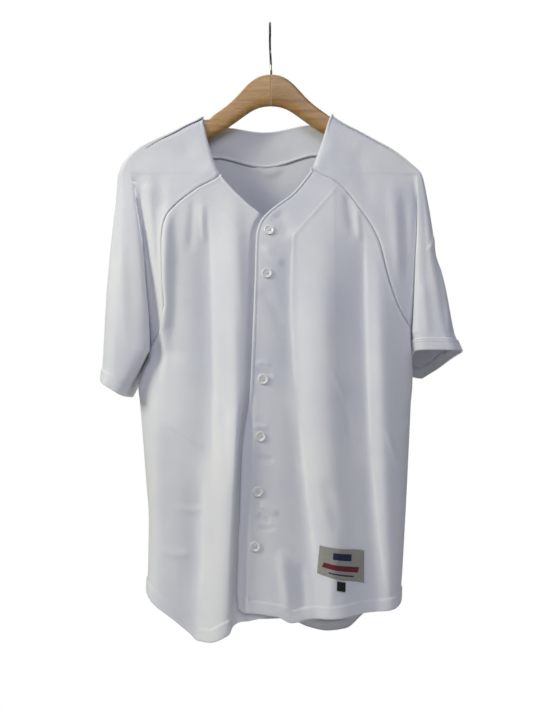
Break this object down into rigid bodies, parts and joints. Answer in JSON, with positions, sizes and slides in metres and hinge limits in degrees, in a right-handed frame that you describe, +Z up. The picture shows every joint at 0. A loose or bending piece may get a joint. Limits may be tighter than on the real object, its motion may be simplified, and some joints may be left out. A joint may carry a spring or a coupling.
{
  "type": "baseball jersey on a hanger",
  "caption": "White button-front baseball jersey with short raglan sleeves, V neck and curved shirt-tail hem, hanging on a wooden hanger with a wire hook.",
  "frame": {"origin": "inner crown of the hook, where it hangs on a rail", "axes": "+Z up, -Y the garment's front, +X to the wearer's left, which is the right of the picture"},
  "size_m": [0.5545, 0.1722, 0.9642],
  "materials": {
    "white_woven_cloth": "matt knitted or woven polyester",
    "clear_lacquered_beech": "satin clear lacquer",
    "dark_plated_steel": "dark plated wire",
    "white_cast_resin": "polished",
    "grey_woven_label": "woven",
    "black_woven_tab": "woven"
  },
  "bodies": {
    "root": {"front_right": "white_woven_cloth", "front_left": "white_woven_cloth", "back": "white_woven_cloth", "sleeve_right": "white_woven_cloth", "sleeve_left": "white_woven_cloth", "neck_facing": "white_woven_cloth", "hanger_right": "clear_lacquered_beech", "hanger_left": "clear_lacquered_beech", "hook": "dark_plated_steel", "label_patch": "grey_woven_label", "size_tab": "black_woven_tab", "button_1": "white_cast_resin", "button_2": "white_cast_resin", "button_3": "white_cast_resin", "button_4": "white_cast_resin", "button_5": "white_cast_resin", "button_6": "white_cast_resin"}
  },
  "joints": []
}
